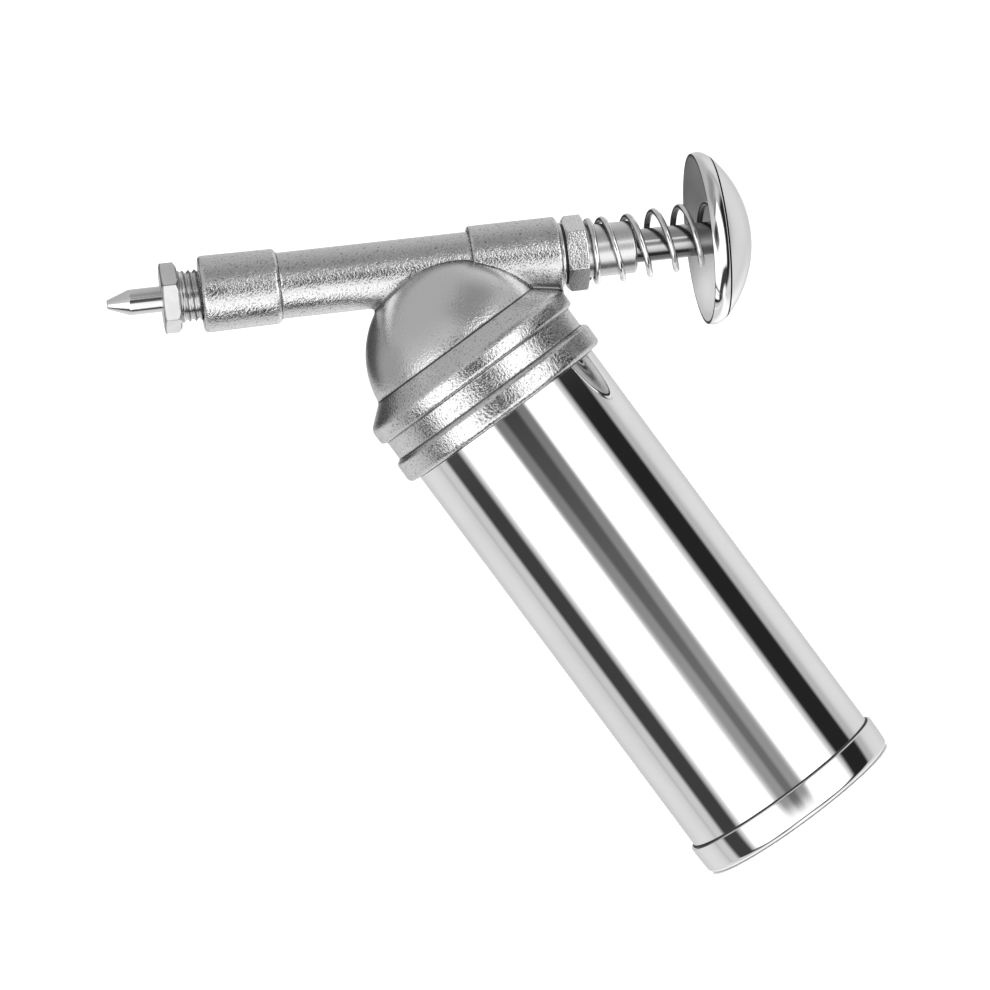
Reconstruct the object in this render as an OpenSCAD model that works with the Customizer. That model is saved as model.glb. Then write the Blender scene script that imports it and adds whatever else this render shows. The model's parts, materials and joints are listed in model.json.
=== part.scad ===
// Push-type mini grease gun. A chromed reservoir tube screws up into a cast pump head.
// A slanted pump barrel crosses the head, with a needle nozzle at its high front end and
// a sprung palm button at its low rear end. Pushing the button drives the plunger rod
// forward, which forces grease past a ball check and out of the nozzle.
// The foot of the reservoir is z = 0 and its axis is +Z. The barrel lies in the plane
// y = 0, with the nozzle towards -X and the button towards +X. Lengths along the barrel
// are measured from the point where its axis crosses the reservoir's, towards the button.
// Sizes are in millimetres.

/* [Reservoir] */
// Outside diameter of the reservoir tube
tube_od = 45; // [43:0.5:47]
// Wall thickness of the reservoir tube
tube_wall = 1.2; // [1.1:0.1:1.4]
// Height from the foot to the underside of the pump head
collar_z = 104; // [100:1:110]
// Height of the bottom cap
cap_h = 6.8; // [6:0.2:8]
// Wall thickness of the bottom cap
cap_wall = 0.9; // [0.8:0.1:1.1]
// Pitch of the screw thread between tube and head
neck_pitch = 2; // [1.8:0.1:2.1]

/* [Pump head] */
// Diameter of the dome above the head's collar
dome_d = 40.6; // [40:0.2:41.4]
// Angle between the barrel and the reservoir's axis, in degrees
barrel_tilt = 60; // [58:1:62]
// Diameter of the barrel's middle stretch
barrel_d = 13.9; // [13.4:0.1:14.4]
// Diameter of the barrel's rear boss, which holds the packing
rear_boss_d = 16.2; // [15.8:0.1:16.8]
// Diameter of the barrel's front boss, which holds the nozzle
front_boss_d = 16; // [15.6:0.1:16.8]

/* [Nozzle] */
// Width of the nozzle's hexagon across its flats
nozzle_hex_af = 13; // [12.5:0.5:14]
// Outside diameter of the nozzle's screw thread
nozzle_thread_d = 11; // [10.6:0.1:11.4]
// Diameter of the nozzle's straight shaft
nozzle_shaft_d = 5.4; // [5:0.1:6]
// Length of the cone at the nozzle's end
nozzle_cone_len = 4.7; // [4:0.1:6]

/* [Plunger] */
// Diameter of the plunger rod
rod_d = 7; // [6.8:0.1:7.2]
// Width of the gland nut's hexagon across its flats
gland_hex_af = 14; // [13.6:0.2:15]
// Diameter of the guide sleeve behind the gland nut
sleeve_d = 11.1; // [10.8:0.1:11.2]
// Diameter of the palm button's rim
button_d = 36.9; // [34:0.5:38]
// Depth of the palm button's dome
button_depth = 10.1; // [9.5:0.1:11]
// Wire diameter of the return spring
return_wire = 1.3; // [1.1:0.05:1.35]
// Travel of the plunger
stroke = 20; // [16:1:20]

/* [Hidden] */
$fn = 96;

gap = 0.1;        // small space between faces that turn or slide past each other
fit = 0.05;       // radial running clearance of the rod in its bores

// Reservoir tube, neck thread and cap
tube_r = tube_od / 2;
cap_r = tube_r + cap_wall;
tube_bore_r = tube_r - tube_wall;
crest_r = tube_r - 0.2;
root_r = crest_r - 0.45;
neck_turns = 4;
neck_len = neck_pitch * neck_turns + 1;
shoulder_z = collar_z - gap;
tube_top = shoulder_z + neck_len;
cap_floor = 1.2;
cap_corner = 2.5;
cap_lip = 0.35;
vent_x = 9;
vent_r = 1;
stamp_r = 16;     // circular groove stamped in the cap's foot
stamp_depth = 0.3;

// Follower stack in the tube, from its spring upwards
follower_top = tube_top - 1;
seal_lip_h = 3.4;
seal_t = 1.6;
plate_t = 1;
seal_z = follower_top - seal_t - seal_lip_h;
backing_z = seal_z - plate_t;
seal_r = tube_bore_r - gap;
rivet_r = 2.5;
rivet_head_r = 4.5;
rivet_head_t = 0.9;
follower_wire = 1.5;
follower_coil_r = tube_bore_r - 3;
follower_turns = 9;

// Head: collar, dome and the hollow under it
rib_r = tube_r + 2.35;
band_r = tube_r + 1.15;
rib_edge = 1.2;
lower_rib_h = 5.3;
band_h = 4.6;
upper_rib_h = 4.7;
upper_rib_z = collar_z + lower_rib_h + band_h;
shoulder_h = 3.3;  // height of the sloping shoulder between the upper rib and the dome
dome_r = dome_d / 2;
dome_z = collar_z + 15.3;
hollow_r = dome_r - 3;
thread_bore_r = crest_r + gap;
ceiling_z = tube_top + 2.2;
gasket_t = 2;
gasket_hole_r = tube_bore_r - 2.3;

// Barrel stations, measured along the barrel's axis
axis_z = collar_z + 36.8;
front_face = -42.3;
front_boss_end = -26;
rear_boss_start = 14.7;
rear_face = 33.4;
boss_edge = 1;
rear_edge = 0.5;
barrel_r = barrel_d / 2;
core_r = barrel_r - 0.65;
rod_r = rod_d / 2;
pump_bore_r = rod_r + fit;
inlet_s = 8;
inlet_r = 2;
rod_tip = inlet_s + inlet_r + 0.6;
pump_bore_end = rod_tip - 21;
seat_wall = 2;
seat_r = 1.7;
ball_r = 2.8;
ball_chamber_r = 3.6;
ball_s = pump_bore_end - seat_wall - sqrt(ball_r * ball_r - seat_r * seat_r) - 0.08;
nozzle_shoulder = -30.5;
nozzle_bore_r = nozzle_thread_d / 2 + gap;
packing_s = 24;
packing_bore_r = 6;

// Nozzle
nozzle_hex_t = 3.7;
nozzle_hex_back = -46.9;
nozzle_hex_front = nozzle_hex_back - nozzle_hex_t;
nozzle_seal_t = 1;
nozzle_back = nozzle_shoulder - nozzle_seal_t - gap;
nozzle_thread_pitch = 1.27;
nozzle_root_r = nozzle_thread_d / 2 - 0.7;
nozzle_bore = 1.2;
spigot_r = 2;
spigot_len = 3;
shaft_r = nozzle_shaft_d / 2;
shaft_len = 6.7;
tip_r = 0.95;
tip_bore = 0.55;
hex_turn = 13;    // how far the nozzle's hexagon happens to be turned when tight

// Gland, washer and packing behind the barrel
washer_t = 1.3;
washer_r = 6.8;
gland_hex_start = rear_face + washer_t;
gland_hex_t = 4.5;
gland_hex_end = gland_hex_start + gland_hex_t;
sleeve_end = gland_hex_end + 10.4;
sleeve_chamfer = 0.6;
shank_r = packing_bore_r - gap;
packing_ring_t = 1.45;
packing_washer_t = 0.8;
shank_start = packing_s + 2 * packing_ring_t + packing_washer_t + 2 * gap;

// Plunger, button and return spring
seat_s = sleeve_end + 20.4;
seat_t = 1;
seat_hole_r = rod_r + 0.3;
seat_od_r = 7.6;
boss_s = seat_s + seat_t + gap;
boss_r = 6;
stud_r = 2.5;
stud_len = 1.9;
button_r = button_d / 2;
button_t = 1.3;
button_apex = seat_s + 4.6;
button_rim = button_apex - button_depth;
skirt_top_r = button_r - 1.3;            // where the dome turns into its short skirt
skirt_top_s = button_rim + 2.8;
button_rise = button_apex - skirt_top_s;
button_sphere_r = (skirt_top_r * skirt_top_r + button_rise * button_rise) / (2 * button_rise);
rim_roll_r = 0.9;
return_coil_r = 7.1 - return_wire / 2;
return_pitch = 5.7;
first_top_s = 43.48;  // where the spring's first open coil is highest
o_ring_s = rod_tip + 2.6;
o_ring_wire_r = 0.6;
check_wire = 0.5;
check_coil_r = 2.2;
check_turns = 9;

// Places children on the barrel's axis, with their +Z towards the button
module along_barrel(s = 0) {
    translate([0, 0, axis_z])
        rotate([0, 180 - barrel_tilt, 0])
            translate([0, 0, s])
                children();
}

// A disc with rounded edges, standing on z = 0
module rounded_disc(r, h, edge) {
    rotate_extrude() {
        square([r - edge, h]);
        translate([0, edge])
            square([r, h - 2 * edge]);
        for (z = [edge, h - edge])
            translate([r - edge, z])
                circle(edge, $fn = 48);
    }
}

// A plain ring standing on z = 0
module ring(r_out, r_in, h) {
    difference() {
        cylinder(r = r_out, h = h);
        translate([0, 0, -1])
            cylinder(r = r_in, h = h + 2);
    }
}

// A row of V-shaped ridges round the z axis, from z = 0 upwards
module thread_ridges(r_root, r_crest, pitch, count) {
    rotate_extrude()
        for (i = [0 : count - 1])
            polygon([[r_root - 0.2, i * pitch + 0.12], [r_root, i * pitch + 0.12],
                [r_crest, (i + 0.42) * pitch], [r_crest, (i + 0.58) * pitch],
                [r_root, (i + 1) * pitch - 0.12], [r_root - 0.2, (i + 1) * pitch - 0.12]]);
}

// A hexagonal prism whose corners are turned off at both ends
module turned_hex(af, h, corner_drop) {
    corner_r = af / 2 / cos(30);
    intersection() {
        cylinder(r = corner_r, h = h, $fn = 6);
        rotate_extrude()
            polygon([[0, 0], [af / 2 - 0.1, 0], [corner_r + 0.1, corner_drop],
                [corner_r + 0.1, h - corner_drop], [af / 2 - 0.1, h], [0, h]]);
    }
}

// Height along a spring at a given turn, with one closed turn at each end
function coil_height(turn, turns, length, wire) =
    let (open_pitch = (length - 3 * wire) / (turns - 2))
    wire / 2 + (turn < 1 ? turn * wire
        : turn > turns - 1 ? length - 2 * wire + (turn - turns + 1) * wire
        : wire + (turn - 1) * open_pitch);

// A round-wire helical spring standing on z = 0, between two flat seats
module coil_spring(coil_r, wire, turns, length, start = 0, steps = 18, sides = 8) {
    rings = ceil(turns * steps);
    points = [for (i = [0 : rings], k = [0 : sides - 1])
        let (turn = turns * i / rings, a = start + 360 * turn, b = 360 * k / sides)
        let (r = coil_r + wire / 2 * cos(b), z = coil_height(turn, turns, length, wire))
        [r * cos(a), r * sin(a), z + wire / 2 * sin(b)]];
    sides_faces = [for (i = [0 : rings - 1], k = [0 : sides - 1])
        let (n = (k + 1) % sides)
        [i * sides + k, (i + 1) * sides + k, (i + 1) * sides + n, i * sides + n]];
    start_face = [[for (k = [0 : sides - 1]) k]];
    end_face = [[for (k = [sides - 1 : -1 : 0]) rings * sides + k]];
    polyhedron(points, concat(sides_faces, start_face, end_face), convexity = 10);
}

module cylinder_tube() {
    color("gainsboro")
        difference() {
            union() {
                translate([0, 0, cap_floor])
                    cylinder(r = tube_r, h = shoulder_z - cap_floor);
                cylinder(r = root_r, h = tube_top);
                translate([0, 0, tube_top - neck_pitch * neck_turns - 0.3])
                    thread_ridges(root_r, crest_r, neck_pitch, neck_turns);
            }
            translate([0, 0, cap_floor - 2])
                cylinder(r = tube_bore_r, h = tube_top + 4);
            translate([0, 0, -1])
                cylinder(r = tube_r + 1, h = cap_floor + 1);
        }
}

module bottom_cap() {
    color("silver")
        difference() {
            rotate_extrude()
                difference() {
                    union() {
                        square([cap_r - cap_corner, cap_h - cap_lip]);
                        translate([0, cap_corner])
                            square([cap_r, cap_h - cap_corner - cap_lip]);
                        translate([cap_r - cap_corner, cap_corner])
                            circle(cap_corner, $fn = 96);
                        translate([0, cap_h - 2 * cap_lip])
                            square([cap_r - cap_lip, 2 * cap_lip]);
                        translate([cap_r - cap_lip, cap_h - cap_lip])
                            circle(cap_lip, $fn = 48);
                    }
                    translate([0, cap_floor])
                        square([tube_r, cap_h]);
                    translate([stamp_r, 0])
                        circle(stamp_depth, $fn = 32);
                }
            translate([vent_x, 0, -1])
                cylinder(r = vent_r, h = cap_floor + 2);
        }
}

module follower_spring() {
    color("dimgray")
        translate([0, 0, cap_floor])
            coil_spring(follower_coil_r, follower_wire, follower_turns,
                backing_z - cap_floor, steps = 20);
}

module follower_backing() {
    color("silver")
        translate([0, 0, backing_z])
            ring(follower_coil_r + 1.2, rivet_r, plate_t);
}

module follower_seal() {
    color("#2b2b2b")
        translate([0, 0, seal_z])
            difference() {
                rounded_disc(seal_r, seal_t + seal_lip_h, 0.5);
                translate([0, 0, seal_t])
                    cylinder(r1 = seal_r - 2.4, r2 = seal_r - 0.8, h = seal_lip_h + 0.01);
                translate([0, 0, -1])
                    cylinder(r = rivet_r, h = seal_t + 2);
            }
}

module follower_plate() {
    color("silver")
        translate([0, 0, seal_z + seal_t])
            ring(seal_r - 2.6, rivet_r, plate_t);
}

module follower_rivet() {
    stack = 2 * plate_t + seal_t;
    color("lightgray")
        translate([0, 0, backing_z]) {
            cylinder(r = rivet_r, h = stack);
            translate([0, 0, -rivet_head_t])
                cylinder(r = rivet_head_r, h = rivet_head_t);
            translate([0, 0, stack])
                cylinder(r1 = rivet_head_r, r2 = rivet_r, h = rivet_head_t);
        }
}

module tube_gasket() {
    color("#1f1f1f")
        translate([0, 0, tube_top + gap])
            ring(thread_bore_r - gap, gasket_hole_r, gasket_t);
}

// Collar of the head: two rounded ribs with a recessed grip band between them
module collar() {
    translate([0, 0, collar_z])
        rounded_disc(rib_r, lower_rib_h, rib_edge);
    translate([0, 0, collar_z + lower_rib_h - 0.2])
        cylinder(r = band_r, h = band_h + 0.4);
    translate([0, 0, upper_rib_z])
        rounded_disc(rib_r, upper_rib_h, rib_edge);
    translate([0, 0, upper_rib_z + upper_rib_h - 0.6])
        cylinder(r1 = rib_r - 0.5, r2 = dome_r + 0.2, h = shoulder_h);
}

// The dome, from just inside the lower rib upwards
module dome() {
    intersection() {
        translate([0, 0, dome_z])
            sphere(r = dome_r);
        translate([0, 0, collar_z + 1])
            cylinder(r = rib_r, h = dome_d);
    }
}

// Outer form of the barrel with its front and rear bosses
module barrel() {
    along_barrel(front_boss_end)
        cylinder(r = barrel_r, h = rear_boss_start - front_boss_end);
    along_barrel(front_face)
        rounded_disc(front_boss_d / 2, front_boss_end - front_face, boss_edge);
    along_barrel(rear_boss_start)
        rounded_disc(rear_boss_d / 2, rear_face - rear_boss_start, rear_edge);
}

// Grease space under the dome, kept off the wall of the pump bore
module dome_hollow() {
    difference() {
        union() {
            translate([0, 0, dome_z])
                sphere(r = hollow_r);
            translate([0, 0, ceiling_z - 1])
                cylinder(r = hollow_r, h = dome_z - ceiling_z + 1);
        }
        along_barrel(front_boss_end)
            cylinder(r = core_r, h = rear_face - front_boss_end);
    }
}

// Screwed socket in the collar that the tube's neck turns up into
module neck_socket() {
    translate([0, 0, collar_z - 1])
        cylinder(r = thread_bore_r, h = ceiling_z - collar_z + 1);
    translate([0, 0, tube_top - neck_pitch * neck_turns - 0.3])
        thread_ridges(thread_bore_r, thread_bore_r + 0.4, neck_pitch, neck_turns);
}

// Pump bore, inlet, check valve chamber, nozzle socket and packing chamber
module barrel_bores() {
    along_barrel(pump_bore_end)
        cylinder(r = pump_bore_r, h = packing_s - pump_bore_end + 1);
    along_barrel(packing_s)
        cylinder(r = packing_bore_r, h = rear_face - packing_s + 1);
    along_barrel(pump_bore_end - seat_wall - 1)
        cylinder(r = seat_r, h = seat_wall + 2);
    along_barrel(nozzle_shoulder - 1)
        cylinder(r = ball_chamber_r, h = pump_bore_end - seat_wall - nozzle_shoulder + 1);
    along_barrel(front_face - 1)
        cylinder(r = nozzle_bore_r, h = nozzle_shoulder - front_face + 1);
    along_barrel(inlet_s)
        rotate([0, 90, 0])
            cylinder(r = inlet_r, h = core_r + 2);
}

module head_casting() {
    color("darkgray")
        difference() {
            union() {
                collar();
                dome();
                barrel();
            }
            neck_socket();
            dome_hollow();
            barrel_bores();
        }
}

module nozzle_body() {
    thread_len = nozzle_back - nozzle_hex_back;
    ridges = floor(thread_len / nozzle_thread_pitch);
    color("lightgray")
        along_barrel(nozzle_hex_front)
            difference() {
                union() {
                    rotate(hex_turn)
                        turned_hex(nozzle_hex_af, nozzle_hex_t, 0.6);
                    translate([0, 0, 1])
                        cylinder(r = nozzle_root_r, h = nozzle_hex_t - 1 + thread_len);
                    translate([0, 0, nozzle_hex_t])
                        thread_ridges(nozzle_root_r, nozzle_thread_d / 2,
                            nozzle_thread_pitch, ridges);
                }
                translate([0, 0, -1])
                    cylinder(r = nozzle_bore, h = thread_len + nozzle_hex_t + 2);
                translate([0, 0, -1])
                    cylinder(r = spigot_r, h = spigot_len + 1);
            }
}

module nozzle_tip() {
    cone_start = nozzle_hex_front - shaft_len;
    tip_s = cone_start - nozzle_cone_len;
    color("whitesmoke")
        difference() {
            along_barrel(tip_s)
                rotate_extrude()
                    polygon([[0, 0], [tip_r - 0.2, 0], [tip_r, 0.2], [shaft_r, nozzle_cone_len],
                        [shaft_r, nozzle_cone_len + shaft_len],
                        [spigot_r, nozzle_cone_len + shaft_len],
                        [spigot_r, nozzle_cone_len + shaft_len + spigot_len],
                        [0, nozzle_cone_len + shaft_len + spigot_len]]);
            along_barrel(tip_s - 1)
                cylinder(r = tip_bore, h = nozzle_cone_len + shaft_len + spigot_len + 2);
        }
}

module nozzle_seal() {
    color("#b87333")
        along_barrel(nozzle_shoulder - nozzle_seal_t)
            ring(nozzle_bore_r - gap, check_coil_r + 0.6, nozzle_seal_t);
}

module check_spring() {
    color("silver")
        along_barrel(nozzle_back)
            coil_spring(check_coil_r, check_wire, check_turns,
                ball_s - ball_r + 0.6 - nozzle_back, steps = 12, sides = 6);
}

module check_ball() {
    color("white")
        along_barrel(ball_s)
            sphere(r = ball_r);
}

module gland_nut() {
    color("darkgray")
        difference() {
            union() {
                along_barrel(shank_start)
                    cylinder(r = shank_r, h = gland_hex_end - shank_start);
                along_barrel(gland_hex_start)
                    turned_hex(gland_hex_af, gland_hex_t, 0.7);
                along_barrel(gland_hex_start + 1)
                    cylinder(r = sleeve_d / 2, h = sleeve_end - gland_hex_start - sleeve_chamfer - 1);
                along_barrel(sleeve_end - sleeve_chamfer)
                    cylinder(r1 = sleeve_d / 2, r2 = sleeve_d / 2 - sleeve_chamfer,
                        h = sleeve_chamfer);
            }
            along_barrel(shank_start - 1)
                cylinder(r = rod_r + fit, h = sleeve_end - shank_start + 2);
        }
}

module gland_washer() {
    color("dimgray")
        along_barrel(rear_face)
            ring(washer_r, packing_bore_r, washer_t);
}

module packing_rings() {
    color("#3a3a3a")
        for (i = [0, 1])
            along_barrel(packing_s + i * (packing_ring_t + gap / 2))
                ring(packing_bore_r - gap, rod_r + fit, packing_ring_t);
}

module packing_washer() {
    color("#b5a642")
        along_barrel(packing_s + 2 * packing_ring_t + gap)
            ring(packing_bore_r - gap, rod_r + fit, packing_washer_t);
}

module return_spring() {
    turns = 2 + (seat_s - gland_hex_end - 3 * return_wire) / return_pitch;
    rise_to_top = first_top_s - gland_hex_end - 1.5 * return_wire;
    first_top = 180 - 360 * (1 + rise_to_top / return_pitch);
    color("lightsteelblue")
        along_barrel(gland_hex_end)
            coil_spring(return_coil_r, return_wire, turns, seat_s - gland_hex_end,
                start = first_top, steps = 20);
}

module spring_seat() {
    color("silver")
        along_barrel(seat_s)
            ring(seat_od_r, seat_hole_r, seat_t);
}

module plunger_rod() {
    groove_half = o_ring_wire_r + 0.05;
    color("gainsboro")
        along_barrel(0)
            rotate_extrude()
                polygon([[0, rod_tip], [rod_r - 0.5, rod_tip], [rod_r, rod_tip + 0.5],
                    [rod_r, o_ring_s - groove_half],
                    [rod_r - 2 * o_ring_wire_r, o_ring_s - groove_half],
                    [rod_r - 2 * o_ring_wire_r, o_ring_s + groove_half],
                    [rod_r, o_ring_s + groove_half], [rod_r, boss_s], [stud_r, boss_s],
                    [stud_r, boss_s + stud_len], [0, boss_s + stud_len]]);
}

module plunger_o_ring() {
    color("#1f1f1f")
        along_barrel(o_ring_s)
            rotate_extrude()
                translate([rod_r - o_ring_wire_r, 0])
                    circle(o_ring_wire_r, $fn = 32);
}

module palm_button() {
    centre = button_apex - button_sphere_r;
    inner_r = button_sphere_r - button_t;
    inner_top_r = sqrt(inner_r * inner_r - (skirt_top_s - centre) * (skirt_top_s - centre));
    skirt_r = button_r - 0.2;
    color("lightgray")
        along_barrel(0)
            rotate_extrude($fn = 144) {
                difference() {
                    intersection() {
                        translate([0, centre])
                            circle(button_sphere_r, $fn = 288);
                        translate([0, skirt_top_s])
                            square([button_sphere_r, button_rise + 1]);
                    }
                    translate([0, centre])
                        circle(inner_r, $fn = 288);
                }
                polygon([[skirt_r - button_t, button_rim], [skirt_r, button_rim],
                    [skirt_top_r, skirt_top_s], [inner_top_r, skirt_top_s]]);
                translate([button_r - rim_roll_r, button_rim])
                    circle(rim_roll_r, $fn = 48);
            }
}

module button_boss() {
    color("silver")
        along_barrel(0)
            difference() {
                intersection() {
                    translate([0, 0, boss_s])
                        cylinder(r = boss_r, h = button_apex - boss_s);
                    translate([0, 0, button_apex - button_sphere_r])
                        sphere(r = button_sphere_r - button_t, $fn = 288);
                }
                translate([0, 0, boss_s - 1])
                    cylinder(r = stud_r, h = stud_len + 1);
            }
}

cylinder_tube();
bottom_cap();
follower_spring();
follower_plate();
follower_seal();
follower_backing();
follower_rivet();
tube_gasket();
head_casting();
nozzle_body();
nozzle_tip();
nozzle_seal();
check_spring();
check_ball();
gland_nut();
gland_washer();
packing_rings();
packing_washer();
return_spring();
spring_seat();
plunger_rod();
plunger_o_ring();
palm_button();
button_boss();
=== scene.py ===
import json
import math

import bmesh
import bpy
import numpy as np
from mathutils import Matrix, Vector


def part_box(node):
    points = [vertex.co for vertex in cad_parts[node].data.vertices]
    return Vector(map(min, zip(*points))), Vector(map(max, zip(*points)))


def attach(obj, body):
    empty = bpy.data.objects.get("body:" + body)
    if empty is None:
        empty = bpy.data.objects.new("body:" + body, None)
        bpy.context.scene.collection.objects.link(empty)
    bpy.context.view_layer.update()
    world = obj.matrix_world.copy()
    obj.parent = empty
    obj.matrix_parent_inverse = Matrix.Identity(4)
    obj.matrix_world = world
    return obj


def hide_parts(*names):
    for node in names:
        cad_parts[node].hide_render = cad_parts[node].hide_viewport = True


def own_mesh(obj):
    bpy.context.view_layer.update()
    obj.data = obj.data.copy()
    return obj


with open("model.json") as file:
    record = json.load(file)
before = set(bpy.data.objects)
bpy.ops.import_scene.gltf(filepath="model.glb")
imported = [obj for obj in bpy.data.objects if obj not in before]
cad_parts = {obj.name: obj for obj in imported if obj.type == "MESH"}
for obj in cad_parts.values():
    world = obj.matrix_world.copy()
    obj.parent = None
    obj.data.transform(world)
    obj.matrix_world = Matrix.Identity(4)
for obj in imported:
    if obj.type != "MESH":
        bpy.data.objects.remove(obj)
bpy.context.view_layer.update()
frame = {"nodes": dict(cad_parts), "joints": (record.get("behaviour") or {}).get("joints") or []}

# Lengths below are in millimetres and angles in degrees, unless a name says otherwise.
# "Upright" pieces are turned about the reservoir's axis. "Barrel" pieces are turned about
# the pump barrel's axis, and are measured from the point where it crosses the reservoir's
# axis, towards the palm button.
MM = 0.001


def joint(name):
    """A joint of the CAD model."""
    return next(j for j in frame["joints"] if j["name"] == name)


def top_of(node):
    """Height of a CAD node's top."""
    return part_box(node)[1].z / MM


def foot_of(node):
    """Height of a CAD node's foot."""
    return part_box(node)[0].z / MM


def radius_of(node):
    """Radius of a CAD node that is round about the reservoir's or the barrel's axis."""
    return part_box(node)[1].y / MM


PUSH = Vector(joint("plunger_push")["axis"]).normalized()
CROSSING = Vector(joint("button_spin")["pos_m"])
STROKE = joint("plunger_push")["range_m"][1] / MM
LIFT = joint("check_ball_lift")["range_m"][1] / MM
FOLLOWER_TRAVEL = joint("follower_travel")["range_m"][1] / MM
TILT = math.degrees(math.atan2(-PUSH.x, -PUSH.z))
UPRIGHT = Matrix.Identity(4)
BARREL = Matrix.Translation(CROSSING) @ Matrix.Rotation(math.radians(TILT), 4, "Y")

# ---------------------------------------------------------------- sizes

TUBE_R = radius_of("cylinder_tube")
TUBE_BORE_R = TUBE_R - 1.2
TUBE_FOOT = foot_of("cylinder_tube")
TUBE_TOP = top_of("cylinder_tube")
COLLAR_Z = foot_of("head_casting")
SHOULDER_Z = COLLAR_Z - 0.1
NECK_PITCH = 2.0
NECK_ROOT_R = TUBE_R - 0.65
NECK_DEPTH = 0.45

CAP_R = radius_of("bottom_cap")
CAP_TOP = top_of("bottom_cap")
CAP_CORNER = 1.8
CAP_CORNER_RISE = 0.72 * CAP_CORNER
CAP_BULGE = 0.18
CAP_VENT_X = 9.0

RIB_R = radius_of("head_casting")
BAND_R = TUBE_R + 1.15
DOME_R = 20.3
DOME_Z = COLLAR_Z + 15.3
HOLLOW_R = DOME_R - 3.0
SOCKET_R = TUBE_R - 0.1
SOCKET_TOP = TUBE_TOP + 2.2
RIB_SHOULDER_R = 24.6
RIB_SHOULDER_RISE = 13.9

# Stations along the barrel and radii about it, here and in the nozzle's and gland's sizes.
FRONT_FACE = -42.3
FRONT_BOSS_END = -26.0
REAR_BOSS_START = 14.7
REAR_FACE = 33.4
BARREL_R = 6.95
FRONT_BOSS_R = 8.0
REAR_BOSS_R = 8.1
ROD_R = 3.5
ROD_BORE_R = ROD_R + 0.05
PUMP_BORE_START = -10.4
BALL_SEAT_R = 1.7
BALL_CHAMBER_R = 3.6
BALL_CHAMBER_END = -12.4
INLET_R = 2.0
INLET_S = 8.0
PACKING_BORE_R = 6.0
PACKING_START = 24.0

NOZZLE_HEX_AF = 13.0
NOZZLE_HEX_BACK = -46.9
NOZZLE_HEX_FRONT = -50.6
NOZZLE_BACK = -31.6
NOZZLE_PITCH = 1.27
NOZZLE_CREST_R = 5.45
NOZZLE_THREAD_DEPTH = 0.55
SPIGOT_R = 2.0
SPIGOT_END = NOZZLE_HEX_FRONT + 3.0
NOZZLE_HEX_TURN = 13.0

GLAND_HEX_AF = 14.0
GLAND_HEX_START = REAR_FACE + 1.3
GLAND_HEX_END = GLAND_HEX_START + 4.5
GLAND_SHANK_START = 28.0
SLEEVE_END = GLAND_HEX_END + 10.4
SLEEVE_R = 5.55

SEAT_S = SLEEVE_END + 20.4
BUTTON_R = radius_of("palm_button")
BUTTON_APEX = SEAT_S + 4.6
BUTTON_RIM = BUTTON_APEX - 10.1

# ---------------------------------------------------------------- mesh tools


def new_object(name, data):
    """Puts a mesh, a camera or a lamp into the scene."""
    made = bpy.data.objects.new(name, data)
    bpy.context.scene.collection.objects.link(made)
    return made


def new_mesh(name, vertices, faces):
    """A mesh from points in millimetres."""
    mesh = bpy.data.meshes.new(name)
    mesh.from_pydata((np.asarray(vertices, float) * MM).tolist(), [], faces)
    return mesh


def new_piece(name, vertices, faces, place, finish, body, stands_for=()):
    """Makes a piece from points in millimetres, puts it in place and ties it to its body."""
    mesh = new_mesh(name, vertices, faces)
    mesh.validate()
    mesh.shade_smooth()
    piece = new_object(name, mesh)
    piece.matrix_world = place
    mesh.materials.append(finish)
    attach(piece, body)
    if stands_for:
        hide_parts(*stands_for)
    return piece


def outline(corners, step=9.0):
    """Points along a closed outline of (radius, height, fillet) corners, with arcs for fillets."""
    points = []
    count = len(corners)
    for i, (r, z, fillet) in enumerate(corners):
        here = Vector((r, z))
        if fillet <= 0:
            points.append(here)
            continue
        before = Vector(corners[i - 1][:2])
        after = Vector(corners[(i + 1) % count][:2])
        to_before = (before - here).normalized()
        to_after = (after - here).normalized()
        half = to_before.angle(to_after) / 2
        reach = min(fillet / math.tan(half), (before - here).length * 0.49,
                    (after - here).length * 0.49)
        radius = reach * math.tan(half)
        centre = here + (to_before + to_after).normalized() * (radius / math.sin(half))
        start = here + to_before * reach - centre
        sweep = math.pi - 2 * half
        turn = 1 if start.x * (here - centre).y - start.y * (here - centre).x > 0 else -1
        steps = max(2, math.ceil(math.degrees(sweep) / step))
        for k in range(steps + 1):
            a = turn * sweep * k / steps
            points.append(centre + Vector((start.x * math.cos(a) - start.y * math.sin(a),
                                           start.x * math.sin(a) + start.y * math.cos(a))))
    return points


def turned(name, points, place, finish, body, stands_for=(), segments=192, swell=None):
    """Turns an outline of (radius, height) points about the piece's own axis. Points on the
    axis close the outline there. swell(angle, r, z) adds to the radius, as for a thread."""
    vertices, rings = [], []
    for r, z in points:
        if r < 1e-6:
            rings.append([len(vertices)])
            vertices.append((0.0, 0.0, z))
            continue
        ring = []
        for k in range(segments):
            a = 2 * math.pi * k / segments
            rr = r + (swell(a, r, z) if swell else 0.0)
            ring.append(len(vertices))
            vertices.append((rr * math.cos(a), rr * math.sin(a), z))
        rings.append(ring)
    faces = []
    for i, ring in enumerate(rings):
        after = rings[(i + 1) % len(rings)]
        if len(ring) == 1 and len(after) == 1:
            continue
        for k in range(segments):
            n = (k + 1) % segments
            if len(ring) == 1:
                faces.append((ring[0], after[n], after[k]))
            elif len(after) == 1:
                faces.append((ring[k], ring[n], after[0]))
            else:
                faces.append((ring[k], ring[n], after[n], after[k]))
    piece = new_piece(name, vertices, faces, place, finish, body, stands_for)
    set_outward(piece)
    soften(piece)
    return piece


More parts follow.
